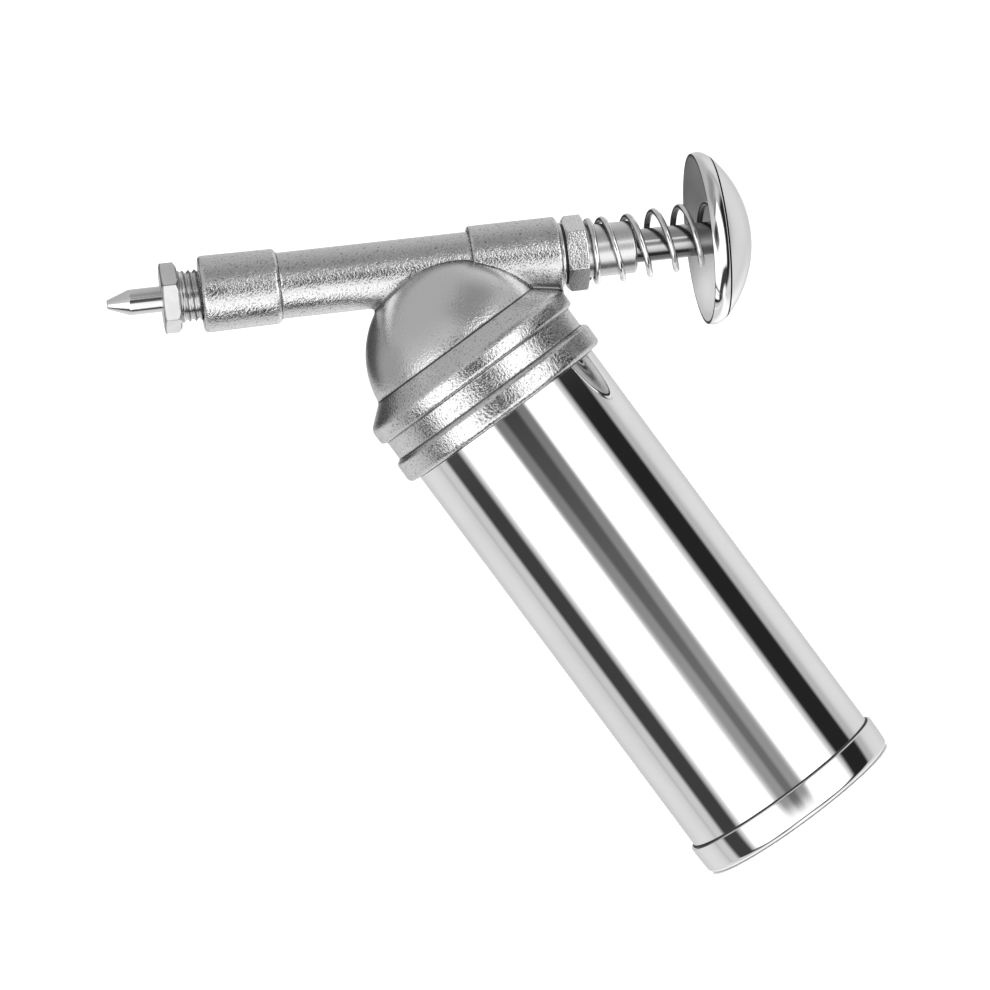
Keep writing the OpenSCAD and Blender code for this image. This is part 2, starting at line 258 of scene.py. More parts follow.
def set_outward(piece):
    """Turns every face of a closed mesh outward."""
    work = bmesh.new()
    work.from_mesh(piece.data)
    bmesh.ops.recalc_face_normals(work, faces=work.faces)
    work.to_mesh(piece.data)
    work.free()


def soften(piece):
    """Shades flats flat and fillets round."""
    piece.data.set_sharp_from_angle(angle=math.radians(35))
    weighted = piece.modifiers.new("flats", "WEIGHTED_NORMAL")
    weighted.keep_sharp = True
    weighted.weight = 80


def cut(piece, cutter_vertices, cutter_faces):
    """Cuts a closed solid, in the piece's own millimetres, out of a piece."""
    cutter = new_object("cutter", new_mesh("cutter", cutter_vertices, cutter_faces))
    cutter.matrix_world = piece.matrix_world
    set_outward(cutter)
    modifier = piece.modifiers.new("cut", "BOOLEAN")
    modifier.operation = "DIFFERENCE"
    modifier.object = cutter
    piece.modifiers.move(len(piece.modifiers) - 1, 0)
    with bpy.context.temp_override(object=piece, active_object=piece):
        bpy.ops.object.modifier_apply(modifier=modifier.name)
    bpy.data.objects.remove(cutter)


def rod_solid(r, low, high, x, segments=48):
    """Vertices and faces of a plain rod along z, for cutting a round hole at x."""
    ring = [(x + r * math.cos(2 * math.pi * k / segments),
             r * math.sin(2 * math.pi * k / segments)) for k in range(segments)]
    vertices = [(*p, low) for p in ring] + [(*p, high) for p in ring]
    faces = [(k, (k + 1) % segments, segments + (k + 1) % segments, segments + k)
             for k in range(segments)]
    faces += [tuple(range(segments))[::-1], tuple(range(segments, 2 * segments))]
    return vertices, faces


def smooth_min(a, b, reach):
    """Joins two solids' distances with a fillet."""
    h = np.maximum(reach - np.abs(a - b), 0) / reach
    return np.minimum(a, b) - h * h * reach / 4


def smooth_max(a, b, reach):
    """Cuts or crosses two solids' distances with a rounded edge."""
    return -smooth_min(-a, -b, reach)


def disc(r, z, radius, low, high, edge):
    """Distance to a disc with rounded edges, from each point's radius and height."""
    across = r - (radius - edge)
    along = np.abs(z - (low + high) / 2) - ((high - low) / 2 - edge)
    outside = np.hypot(np.maximum(across, 0), np.maximum(along, 0))
    return outside + np.minimum(np.maximum(across, along), 0) - edge


def skin(distance, low, high, cell):
    """Quads on the surface where distance(x, y, z) is zero, and that surface's normals."""
    low, high = np.array(low, float), np.array(high, float)
    counts = np.ceil((high - low) / cell).astype(int) + 1
    xs, ys, zs = (low[i] + cell * np.arange(counts[i]) for i in range(3))
    values = np.empty(counts, np.float32)
    for i, x in enumerate(xs):
        values[i] = distance(x, ys[:, None], zs[None, :])
    inside = values < 0
    corners = [(a, b, c) for a in (0, 1) for b in (0, 1) for c in (0, 1)]
    part = [slice(0, -1), slice(1, None)]
    total = sum(inside[part[a], part[b], part[c]].astype(np.int8) for a, b, c in corners)
    cells = np.argwhere((total > 0) & (total < 8))
    number = np.full(total.shape, -1, np.int64)
    number[tuple(cells.T)] = np.arange(len(cells))
    at = np.stack([values[tuple((cells + c).T)] for c in corners], 1)
    # Each cell that the surface passes through gets a point, midway between the places where
    # its edges are crossed.
    points, hits = np.zeros((len(cells), 3)), np.zeros((len(cells), 1))
    for a in range(8):
        for b in range(a + 1, 8):
            ca, cb = np.array(corners[a]), np.array(corners[b])
            if np.abs(ca - cb).sum() != 1:
                continue
            crossed = (at[:, a] < 0) != (at[:, b] < 0)
            share = np.where(crossed, at[:, a] / np.where(crossed, at[:, a] - at[:, b], 1), 0)
            points += crossed[:, None] * (ca + share[:, None] * (cb - ca))
            hits += crossed[:, None]
    points = low + cell * (cells + points / hits)
    # The points are then drawn onto the surface itself.
    for _ in range(4):
        slope, value = gradient(distance, points)
        move = slope * (value / np.maximum((slope ** 2).sum(1), 0.05))[:, None]
        reach = np.maximum(np.linalg.norm(move, axis=1), 1e-9)[:, None]
        points = points - move * np.minimum(1, cell * 0.5 / reach)
    slope, _ = gradient(distance, points)
    normals = slope / np.maximum(np.linalg.norm(slope, axis=1), 1e-9)[:, None]
    faces = []
    # Each grid edge that is crossed gets a quad between the four cells around it.
    for axis in range(3):
        u, v = (axis + 1) % 3, (axis + 2) % 3
        here = [slice(None)] * 3
        there = [slice(None)] * 3
        here[axis], there[axis] = slice(0, -1), slice(1, None)
        change = inside[tuple(here)].astype(np.int8) - inside[tuple(there)].astype(np.int8)
        for sign in (1, -1):
            edges = np.argwhere(change == sign)
            du, dv = np.eye(3, dtype=int)[u], np.eye(3, dtype=int)[v]
            ok = (edges[:, u] > 0) & (edges[:, v] > 0)
            ok &= (edges[:, u] < counts[u] - 1) & (edges[:, v] < counts[v] - 1)
            edges = edges[ok]
            ring = [edges - du - dv, edges - dv, edges, edges - du]
            quad = np.stack([number[tuple(c.T)] for c in ring], 1)
            faces.append(quad if sign > 0 else quad[:, ::-1])
    return points, np.concatenate(faces), normals


def gradient(distance, points, step=0.01):
    """Slope of a distance at points, and the distance there."""
    slope = np.empty_like(points)
    for i in range(3):
        ahead, behind = points.copy(), points.copy()
        ahead[:, i] += step
        behind[:, i] -= step
        slope[:, i] = (distance(*ahead.T) - distance(*behind.T)) / (2 * step)
    return slope, distance(*points.T)


def formed(name, distance, low, high, cell, place, finish, body, stands_for=()):
    """Makes a piece from the surface of a distance, with that surface's exact normals."""
    points, faces, normals = skin(distance, low, high, cell)
    piece = new_piece(name, points, faces.tolist(), place, finish, body, stands_for)
    piece.data.normals_split_custom_set_from_vertices(normals.tolist())
    # Kept for the materials: shelter for painted crease shade, edge_wear for worn edges.
    store(piece, "shelter", shelter(distance, points, normals, 0.5))
    store(piece, "edge_wear", shelter(distance, points, normals, -0.5))
    return piece


def shelter(distance, points, normals, reach):
    """How far a surface closes in within reach in front of it, 0 in the open and 1 in a deep
    crease. With a reach below 0 it is how far the solid falls away behind the surface."""
    ahead = distance(*(points + normals * reach).T)
    nearer = distance(*(points + normals * reach / 2).T)
    closing = 1 - (ahead / reach + nearer / (reach / 2)) / 2
    return np.clip(closing, 0, 1)


def store(piece, name, values):
    """Keeps a number at every point of a piece for its material to read."""
    layer = piece.data.attributes.new(name, "FLOAT", "POINT")
    layer.data.foreach_set("value", np.asarray(values, np.float32))


def wire(name, path, wire_r, place, finish, body, stands_for=(), sides=14):
    """A round wire along a path of points, with flat ground ends."""
    path = np.asarray(path, float)
    ahead = np.gradient(path, axis=0)
    ahead /= np.linalg.norm(ahead, axis=1)[:, None]
    outward = path * np.array([1.0, 1.0, 0.0])
    outward -= (outward * ahead).sum(1)[:, None] * ahead
    outward /= np.linalg.norm(outward, axis=1)[:, None]
    side = np.cross(ahead, outward)
    turns = 2 * np.pi * np.arange(sides) / sides
    rings = (path[:, None, :] + wire_r * (np.cos(turns)[None, :, None] * outward[:, None, :]
                                          + np.sin(turns)[None, :, None] * side[:, None, :]))
    vertices = rings.reshape(-1, 3)
    faces = [(i * sides + k, i * sides + (k + 1) % sides,
              (i + 1) * sides + (k + 1) % sides, (i + 1) * sides + k)
             for i in range(len(path) - 1) for k in range(sides)]
    last = (len(path) - 1) * sides
    faces += [tuple(range(sides))[::-1], tuple(range(last, last + sides))]
    piece = new_piece(name, vertices, faces, place, finish, body, stands_for)
    set_outward(piece)
    piece.data.set_sharp_from_angle(angle=math.radians(50))
    store(piece, "faces_out", np.tile(np.cos(turns), len(path)))
    return piece


def coil_height(turn, turns, length, wire_d):
    """Height of a spring's wire at a turn, with one closed turn at each end."""
    open_pitch = (length - 3 * wire_d) / (turns - 2)
    blend = 0.12 * open_pitch
    low = turn * wire_d
    middle = wire_d + (turn - 1) * open_pitch
    high = length - wire_d - (turns - turn) * wire_d
    return wire_d / 2 + smooth_min(smooth_max(low, middle, blend), high, blend)


def coil_path(mean_r, turns, low, high, wire_d, steps):
    """Points along the wire of an even spring between two heights, steps to a turn."""
    path = []
    for i in range(turns * steps + 1):
        turn = i / steps
        a = 2 * math.pi * turn
        path.append((mean_r * math.cos(a), mean_r * math.sin(a),
                     low + coil_height(turn, turns, high - low, wire_d)))
    return path


# ---------------------------------------------------------------- material tools


class Signal:
    """A number or colour worked out by nodes. Sums and products of signals add Math nodes."""

    def __init__(self, paint, socket):
        self.paint, self.socket = paint, socket

    def math(self, operation, *others):
        """A Math node on this signal, and on another or a number if it takes two."""
        values = {i: v for i, v in enumerate((self, *others))}
        return self.paint.node("ShaderNodeMath", {"operation": operation}, values)

    def __add__(self, other):
        return self.math("ADD", other)

    def __radd__(self, other):
        return self.math("ADD", other)

    def __sub__(self, other):
        return self.math("SUBTRACT", other)

    def __rsub__(self, other):
        return self.paint.node("ShaderNodeMath", {"operation": "SUBTRACT"}, {0: other, 1: self})

    def __mul__(self, other):
        return self.math("MULTIPLY", other)

    def __rmul__(self, other):
        return self.math("MULTIPLY", other)

    def step(self, low, high):
        """A smooth step from 0 at low to 1 at high."""
        return self.paint.node("ShaderNodeMapRange", {"interpolation_type": "SMOOTHSTEP"},
                               {"Value": self, "From Min": low, "From Max": high})

    def ramp(self, low, high):
        """A straight climb from 0 at low to 1 at high."""
        return self.paint.node("ShaderNodeMapRange", {},
                               {"Value": self, "From Min": low, "From Max": high})

    def window(self, low, high, feather):
        """1 between low and high, with soft edges."""
        return self.step(low - feather, low + feather) * (1 - self.step(high - feather,
                                                                        high + feather))


class Paint:
    """A node tree being built: a piece's finish, or the light tent's or the world's."""

    def __init__(self, name, owner=None):
        self.owner = owner or bpy.data.materials.new(name)
        self.owner.use_nodes = True
        self.tree = self.owner.node_tree
        self.tree.nodes.clear()

    def node(self, kind, settings=None, values=None, output=0):
        """Adds a node: its settings first, then its sockets' values or links."""
        made = self.tree.nodes.new(kind)
        for key, value in (settings or {}).items():
            setattr(made, key, value)
        for key, value in (values or {}).items():
            if isinstance(value, Signal):
                self.tree.links.new(value.socket, made.inputs[key])
            else:
                made.inputs[key].default_value = value
        return Signal(self, made.outputs[output]) if made.outputs else None

    def place(self):
        """Coordinates on the piece itself, in metres, which move with it."""
        return self.node("ShaderNodeTexCoord", output="Object")

    def stored(self, name):
        """A number kept at the mesh's points."""
        return self.node("ShaderNodeAttribute", {"attribute_name": name}, output="Fac")

    def apart(self, vector):
        """The x, y and z of a vector."""
        made = self.node("ShaderNodeSeparateXYZ", {}, {0: vector}).socket.node
        return [Signal(self, made.outputs[i]) for i in range(3)]

    def stretched(self, x, y, z):
        """The piece's own place, scaled along each axis, for streaks and rings."""
        return self.node("ShaderNodeMapping", {}, {"Vector": self.place(), "Scale": (x, y, z)})

    def noise(self, vector, size, detail=2.0, rough=0.5):
        """Cloudy noise from 0 to 1, with features of the given size in millimetres."""
        return self.node("ShaderNodeTexNoise", {},
                         {"Vector": vector, "Scale": 1 / (size * MM), "Detail": detail,
                          "Roughness": rough})

    def greater(self, first, second):
        """The larger of two signals."""
        return first.math("MAXIMUM", second)

    def mix(self, share, first, second):
        """A colour between two."""
        return self.node("ShaderNodeMix", {"data_type": "RGBA"},
                         {0: share, 6: colour(first), 7: colour(second)}, output=2)

    def bump(self, height, depth, under=None):
        """A normal from a height of 0 to 1, as deep as depth millimetres."""
        values = {"Height": height, "Distance": depth * MM, "Strength": 1.0}
        if under:
            values["Normal"] = under
        return self.node("ShaderNodeBump", {}, values)

    def surface(self, base, roughness, normal, metallic=1.0):
        """Finishes the material: bare or plated metal unless metallic says otherwise."""
        values = {"Base Color": colour(base), "Roughness": roughness, "Metallic": metallic,
                  "Normal": normal}
        shader = self.node("ShaderNodeBsdfPrincipled", {}, values)
        self.node("ShaderNodeOutputMaterial", {}, {"Surface": shader})
        return self.owner


def colour(value):
    """A grey or a colour as four numbers. Signals pass through."""
    if isinstance(value, Signal):
        return value
    if isinstance(value, (int, float)):
        return (value, value, value, 1.0)
    return (*value, 1.0)


# ---------------------------------------------------------------- finishes


def plated_chrome(name, base, gloss):
    """Bright chrome: a faint haze, hairline polishing marks along the piece and a slight ripple."""
    paint = Paint(name)
    haze = paint.noise(paint.place(), 14.0, 3.0)
    marks = paint.noise(paint.stretched(1.0, 1.0, 0.02), 0.35, 2.0)
    ripple = paint.noise(paint.stretched(1.0, 1.0, 0.25), 9.0, 1.0)
    roughness = gloss + haze * 0.03 + marks * 0.02
    base_colour = paint.mix(haze.step(0.35, 0.75), base, base * 0.95)
    fine = paint.bump(marks, 0.0006)
    normal = paint.bump(ripple, 0.004, under=fine)
    return paint.surface(base_colour, roughness, normal)


def sand_cast_plate(name, base, gloss, grain=0.5, depth=0.1, lines=(), painted_underside=0.0):
    """Nickel over a sand casting: fine pitted grain and rubbed high spots, with painted shade in
    its creases. Where two cast shapes meet, lines names the stored distances that pass through 0
    there, and painted shade is drawn along them. Painted shade can darken the lower flats of the
    gland nut."""
    paint = Paint(name)
    place = paint.place()
    sand = paint.noise(place, grain, 2.0, 0.6)
    pits = paint.noise(place, grain * 0.8, 1.0)
    swell = paint.noise(place, 5.0, 2.0)
    # Mask of painted shade: how closed in the surface is, and the lines where cast shapes meet.
    dark = paint.stored("shelter").step(0.06, 0.5) * 0.7
    for line in lines:
        dark = paint.greater(dark, 1 - paint.stored(line).math("ABSOLUTE").step(0.08, 0.3))
    worn = paint.stored("edge_wear").step(0.2, 0.6)
    polish = paint.stored("polish") * swell.step(0.2, 0.42)
    rubbed = swell.step(0.35, 0.65) * 0.3
    height = sand * (1 - worn * 0.5 - rubbed) * (1 - polish * 0.8)
    roughness = gloss + pits * 0.08 + dark * 0.2 + polish * 0.14
    shade = paint.mix(sand.step(0.31, 0.44) + polish, base * 0.5, base)
    shade = paint.mix(worn * 0.5, shade, base * 1.1)
    # Painted shade in the creases and along the lines where cast shapes meet.
    shade = paint.mix(dark * 0.92, shade, base * 0.06)
    # Painted shade on the gland nut's lower flats.
    if painted_underside:
        flat_top = 4.1 * MM
        below = paint.apart(place)[0].step(flat_top - 0.2 * MM, flat_top + 0.2 * MM)
        shade = paint.mix(below * painted_underside, shade, base * 0.2)
    coarse = paint.bump(swell, 0.05)
    normal = paint.bump(height, depth, under=coarse)
    return paint.surface(shade, roughness, normal)


def turned_steel(name, base, gloss, depth=0.004, painted_underside=0.0, painted_underside_r=0.0):
    """Steel off a lathe: fine rings round the axis, a faint haze and a few lengthwise rubs.
    Painted shade can darken the underside of a piece of the given radius."""
    paint = Paint(name)
    rings = paint.noise(paint.stretched(0.02, 0.02, 1.0), 0.25, 3.0)
    rubs = paint.noise(paint.stretched(1.0, 1.0, 0.05), 0.5, 2.0)
    haze = paint.noise(paint.place(), 6.0, 2.0)
    roughness = gloss + rings * 0.08 + haze * 0.05
    shade = paint.mix(haze.step(0.3, 0.75), base, base * 0.88)
    shade = paint.mix(rubs.step(0.6, 0.8) * 0.4, shade, base * 0.75)
    # Painted shade along the piece's underside.
    if painted_underside:
        below = paint.apart(paint.place())[0] + rubs * (0.1 * painted_underside_r * MM)
        below = below.step(0.3 * painted_underside_r * MM, 0.7 * painted_underside_r * MM)
        shade = paint.mix(below * painted_underside, shade, base * 0.12)
    return paint.surface(shade, roughness, paint.bump(rings, depth))


def plated_steel(name, base, gloss):
    """Flat plated steel: a satin grain, painted shade in its creases, and dark where its corners
    are worn.
    """
    paint = Paint(name)
    place = paint.place()
    satin = paint.noise(place, 0.3, 3.0)
    cloud = paint.noise(place, 4.0, 2.0)
    roughness = gloss + satin * 0.08
    shade = paint.mix(cloud.step(0.3, 0.7), base, base * 0.9)
    # Painted shade in the creases, with dark wear on the corners.
    dark = paint.greater(paint.stored("shelter").step(0.25, 0.7),
                         paint.stored("edge_wear").step(0.1, 0.25) * 0.8)
    shade = paint.mix(dark * 0.85, shade, base * 0.1)
    return paint.surface(shade, roughness, paint.bump(satin, 0.006))


def bare_pressing(name, painted_shade_side, painted_pale_side, gloss):
    """The button's unpolished inside: satin, with painted shade on one side and paler on the other.
    """
    paint = Paint(name)
    place = paint.place()
    satin = paint.noise(place, 0.4, 3.0)
    cloud = paint.noise(place, 5.0, 2.0)
    # Painted shade across the inside: darker on one side, paler on the other.
    across = paint.apart(place)[0] + cloud * (6 * MM)
    shade = paint.mix(across.step(-9 * MM, 15 * MM), painted_shade_side, painted_pale_side)
    normal = paint.bump(satin, 0.006)
    return paint.surface(shade, gloss + satin * 0.08, normal, metallic=0.4)


def drawn_wire(name, base, gloss):
    """Spring wire: drawing lines and oily patches, with painted shade on its inner and side faces,
    bright only where it faces out.
    """
    paint = Paint(name)
    place = paint.place()
    lines = paint.noise(place, 0.18, 3.0)
    oil = paint.noise(place, 2.5, 2.0)
    shade = paint.mix(oil.step(0.45, 0.7), base, base * 0.85)
    # Painted shade on the wire's inner and side faces.
    shade = paint.mix(paint.stored("faces_out").step(-0.1, 0.75), base * 0.1, shade)
    return paint.surface(shade, gloss + lines * 0.08, paint.bump(lines, 0.004))


def moulded_rubber(name, base):
    """Nitrile rubber or packing: dull, with a fine bloom."""
    paint = Paint(name)
    place = paint.place()
    bloom = paint.noise(place, 0.6, 3.0)
    shade = paint.mix(bloom, base, base * 1.8)
    return paint.surface(shade, 0.55 + bloom * 0.2, paint.bump(bloom, 0.01), metallic=0.0)


def tinted_metal(name, base, dull):
    """Brass or copper: warm, with darker tarnish in patches."""
    paint = Paint(name)
    tarnish = paint.noise(paint.place(), 1.8, 4.0)
    shade = paint.mix(tarnish.step(0.4, 0.75), base, dull)
    return paint.surface(shade, 0.25 + tarnish * 0.2, paint.bump(tarnish, 0.01))


TUBE_CHROME = plated_chrome("tube_chrome", 0.86, 0.02)
CAP_CHROME = plated_chrome("cap_chrome", 0.86, 0.03)
BUTTON_CHROME = plated_chrome("button_chrome", 0.82, 0.04)
# The head's creases and the lines where its cast shapes meet carry painted shade.
CAST_PLATE = sand_cast_plate("cast_plate", 0.70, 0.08, depth=0.14,
                             lines=("lower_line", "upper_line", "dome_line", "barrel_line",
                                    "boss_line"))
# The gland nut's lower flats carry painted shade.
GLAND_PLATE = sand_cast_plate("gland_plate", 0.82, 0.1, grain=0.4, depth=0.12, painted_underside=0.75)
NOZZLE_PLATE = plated_steel("nozzle_plate", 0.80, 0.12)
# The rod's and the sleeve's undersides carry painted shade.
ROD_STEEL = turned_steel("rod_steel", 0.60, 0.12, painted_underside=0.8, painted_underside_r=ROD_R)
SLEEVE_STEEL = turned_steel("sleeve_steel", 0.84, 0.22, painted_underside=0.3, painted_underside_r=SLEEVE_R)
TIP_STEEL = turned_steel("tip_steel", 0.82, 0.06, depth=0.002)
SPRING_WIRE = drawn_wire("spring_wire", 0.82, 0.06)
ZINC = plated_steel("zinc", 0.66, 0.25)
# Near black: the button's cut lip edge, and painted shade in the groove under its dome.
CUT_EDGE_AND_GROOVE_SHADE = plated_steel("cut_edge_and_groove_shade", 0.03, 0.4)
RUBBER = moulded_rubber("rubber", 0.02)
FIBRE = moulded_rubber("fibre", 0.04)
# Near black: painted shade in the gaps at the cap's lip and under the gland's hexagon.
PAINTED_GAP_SHADE = moulded_rubber("painted_gap_shade", 0.012)
# The button's inside carries painted shade on one side.
BUTTON_INSIDE = bare_pressing("button_inside", 0.24, 0.52, 0.42)
COPPER = tinted_metal("copper", (0.72, 0.36, 0.22), (0.3, 0.16, 0.1))
BRASS = tinted_metal("brass", (0.75, 0.58, 0.28), (0.35, 0.26, 0.13))

# ---------------------------------------------------------------- reservoir


def thread_shape(phase):
    """Height of a rounded V thread, 0 to 1, at a share of its pitch."""
    return 0.5 - 0.5 * math.cos(2 * math.pi * phase)


def make_tube():
    """Drawn tube with a helical thread rolled on its neck."""
    crest_start, crest_end, rows = SHOULDER_Z + 0.8, TUBE_TOP - 0.4, 64

    def thread(angle, r, z):
        if abs(r - NECK_ROOT_R) > 0.01 or not crest_start < z < crest_end:
            return 0.0
        fade = min(1.0, (z - crest_start) / 0.8, (crest_end - z) / 0.8)
        return NECK_DEPTH * fade * thread_shape(z / NECK_PITCH - angle / (2 * math.pi))

    neck = [(NECK_ROOT_R, crest_start + (crest_end - crest_start) * i / rows)
            for i in range(rows + 1)]
    lower = outline([(TUBE_BORE_R, TUBE_FOOT, 0.2), (TUBE_R, TUBE_FOOT, 0.2),
                     (TUBE_R, SHOULDER_Z, 0.15), (NECK_ROOT_R, SHOULDER_Z, 0.1),
                     (NECK_ROOT_R, TUBE_TOP, 0.2), (TUBE_BORE_R, TUBE_TOP, 0.2)], step=15)
    split = next(i for i, p in enumerate(lower) if p.x < NECK_ROOT_R + 0.01
                 and p.y > SHOULDER_Z + 0.05 and p.x > TUBE_BORE_R + 0.3)
    points = lower[:split + 1] + [Vector(p) for p in neck] + lower[split + 1:]
    turned("reservoir_tube", points, UPRIGHT, TUBE_CHROME, "reservoir",
           ["cylinder_tube"], segments=240, swell=thread)


def make_cap():
    """Pressed cap with a grooved foot, an eased corner, a flared wall and an air vent, and a
    thin dark bead at its lip that paints the shade where the lip meets the tube."""
    floor, wall_r = TUBE_FOOT, TUBE_R + 0.05
    groove_r, groove_depth, steps = 16.0, 0.3, 12
    foot = outline([(0, 0, 0), (groove_r - 0.3, 0, 0.1), (groove_r, groove_depth, 0.1),
                    (groove_r + 0.3, 0, 0.1)], step=15)
    corner = [Vector((CAP_R - CAP_BULGE - CAP_CORNER * (1 - math.sin(a)),
                      CAP_CORNER_RISE * (1 - math.cos(a))))
              for a in (math.radians(8 + 82 * k / steps) for k in range(steps + 1))]
    wall_height = CAP_TOP - 0.8 - CAP_CORNER_RISE
    wall = [Vector((CAP_R - CAP_BULGE * (1 - share) ** 2,
                    CAP_CORNER_RISE + wall_height * share))
            for share in (k / steps for k in range(1, steps + 1))]
    top = outline([(CAP_R, CAP_TOP - 0.6, 0), (CAP_R, CAP_TOP, 0.3), (wall_r, CAP_TOP, 0.45),
                   (wall_r, floor, 0.3), (0, floor, 0)], step=10)
    cap = turned("reservoir_cap", foot + corner + wall + top, UPRIGHT, CAP_CHROME,
                 "reservoir", ["bottom_cap"], segments=240)
    cut(cap, *rod_solid(1.0, -1, floor + 1, CAP_VENT_X))
    # A thin dark bead at the lip paints the shade where the lip meets the tube.
    bead_r = 0.24
    bead = [Vector((TUBE_R + bead_r * math.cos(a), CAP_TOP + 0.06 + bead_r * math.sin(a)))
            for a in (2 * math.pi * k / 14 for k in range(14))]
    turned("cap_lip_shade_bead", bead, UPRIGHT, PAINTED_GAP_SHADE, "reservoir")


def make_follower_spring():
    """Coil spring under the follower."""
    wire_d, turns, mean_r = 1.5, 9, TUBE_BORE_R - 3
    low, high = TUBE_FOOT, foot_of("follower_backing")
    path = coil_path(mean_r, turns, low, high, wire_d, steps=28)
    spring = wire("follower_coil", path, wire_d / 2, UPRIGHT, SPRING_WIRE, "reservoir",
                  ["follower_spring"], sides=10)
    length = high - low
    (length - FOLLOWER_TRAVEL) / length
    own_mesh(spring)


# ---------------------------------------------------------------- pump head


def barrel_place(x, y, z):
    """Radius and station along the barrel, and the height above it, of points in the frame."""
    across, along = math.sin(math.radians(TILT)), math.cos(math.radians(TILT))
    z = z - CROSSING.z / MM
    s = x * across + z * along
    up = -x * along + z * across
    return np.hypot(up, y), s, up


def head_forms(x, y, z):
    """Distances to the casting's shapes: two ribs, the band between, dome, barrel and bosses."""
    r = np.hypot(x, y)
    rho, s, _ = barrel_place(x, y, z)
    lower_rib = disc(r, z, RIB_R, COLLAR_Z, COLLAR_Z + 5.3, 1.2)
    band = disc(r, z, BAND_R, COLLAR_Z + 2, COLLAR_Z + 13, 0.5)
    upper_rib = disc(r, z, RIB_R, COLLAR_Z + 9.9, COLLAR_Z + 20, 0.9)
    shoulder = (r - RIB_SHOULDER_R) * 0.64 + (z - COLLAR_Z - RIB_SHOULDER_RISE) * 0.77
    upper_rib = smooth_max(upper_rib, shoulder, 0.9)
    dome = np.sqrt(r * r + (z - DOME_Z) ** 2) - DOME_R
    dome = smooth_max(dome, COLLAR_Z + 2 - z, 0.5)
    middle = disc(rho, s, BARREL_R, FRONT_BOSS_END - 3, REAR_BOSS_START + 3, 0.3)
    front = disc(rho, s, FRONT_BOSS_R + 0.08 - 0.012 * (s - FRONT_FACE), FRONT_FACE,
                 FRONT_BOSS_END, 0.9)
    rear = disc(rho, s, REAR_BOSS_R, REAR_BOSS_START, REAR_FACE, 0.5)
    bosses = np.minimum(front, rear)
    return lower_rib, band, upper_rib, dome, middle, bosses


def head_distance(x, y, z):
    """Distance to the cast head: ribbed collar, dome and barrel, less its bores and hollow."""
    r = np.hypot(x, y)
    rho, s, up = barrel_place(x, y, z)
    lower_rib, band, upper_rib, dome, middle, bosses = head_forms(x, y, z)
    barrel = smooth_min(middle, bosses, 0.25)
    collar = smooth_min(smooth_min(lower_rib, band, 0.3), upper_rib, 0.3)
    head = smooth_min(collar, dome, 0.25)
    towards_nozzle = np.clip((6 - s) / 14, 0, 1)
    towards_gland = np.clip((s - 18) / 8, 0, 1)
    head = smooth_min(head, barrel, 0.35 + 1.3 * towards_nozzle + 0.9 * towards_gland)
    socket = disc(r, z, SOCKET_R, COLLAR_Z - 5, SOCKET_TOP, 0.2)
    hollow = np.sqrt(r * r + (z - DOME_Z) ** 2) - HOLLOW_R
    hollow = smooth_min(hollow, disc(r, z, HOLLOW_R, SOCKET_TOP - 2, DOME_Z, 0.2), 0.3)
    hollow = smooth_max(hollow, BARREL_R - 0.65 - rho, 0.6)
    bore = disc(rho, s, ROD_BORE_R, PUMP_BORE_START, 30, 0.1)
    seat = disc(rho, s, BALL_SEAT_R, BALL_CHAMBER_END - 2.6, 0, 0.1)
    chamber = disc(rho, s, BALL_CHAMBER_R, -33, BALL_CHAMBER_END, 0.3)
    nozzle_socket = disc(rho, s, NOZZLE_CREST_R + 0.15, FRONT_FACE - 3, NOZZLE_BACK + 1.1, 0.1)
    packing = disc(rho, s, PACKING_BORE_R, PACKING_START, REAR_FACE + 3, 0.1)
    round_inlet = np.hypot(s - INLET_S, y) - INLET_R
    inlet = np.maximum(np.maximum(round_inlet, up), -up - 9)
    for space in (socket, hollow, bore, seat, chamber, nozzle_socket, packing, inlet):
        head = smooth_max(head, -space, 0.3)
    return head


def make_head():
    """The casting, with its crease lines and its polished dome stored for its material."""
    low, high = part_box("head_casting")
    margin, cell = 1.5, 0.36
    head = formed("cast_head", head_distance, [v / MM - margin for v in low],
                  [v / MM + margin for v in high], cell, UPRIGHT, CAST_PLATE, "head",
                  ["head_casting"])
    points = np.empty(len(head.data.vertices) * 3)
    head.data.vertices.foreach_get("co", points)
    points = points.reshape(-1, 3) / MM
    lower_rib, band, upper_rib, dome, middle, bosses = head_forms(*points.T)
    barrel = np.minimum(middle, bosses)
    collar = np.minimum(np.minimum(lower_rib, band), upper_rib)
    store(head, "lower_line", crease(lower_rib, band))
    store(head, "upper_line", crease(upper_rib, band))
    store(head, "dome_line", crease(dome, collar))
    store(head, "barrel_line", crease(barrel, np.minimum(dome, collar)))
    store(head, "boss_line", crease(middle, bosses))
    on_dome = np.clip((barrel - 0.6) / 2, 0, 1) * np.clip((0.6 - dome) / 0.3, 0, 1)
    store(head, "polish", on_dome * np.clip((points[:, 2] - DOME_Z - 1) / 9, 0, 1))


def crease(first, second):
    """Passes through 0 on the line where two shapes meet at the surface, in millimetres."""
    apart = first - second
    far = np.clip(np.maximum(first, second) - 0.3, 0, 1)
    return apart * (1 + 30 * far) + np.sign(apart) * 2 * far


# ---------------------------------------------------------------- nozzle


def corner_radius(across_flats):
    """Radius to a hexagon's corners."""
    return across_flats / 2 / math.cos(math.radians(30))


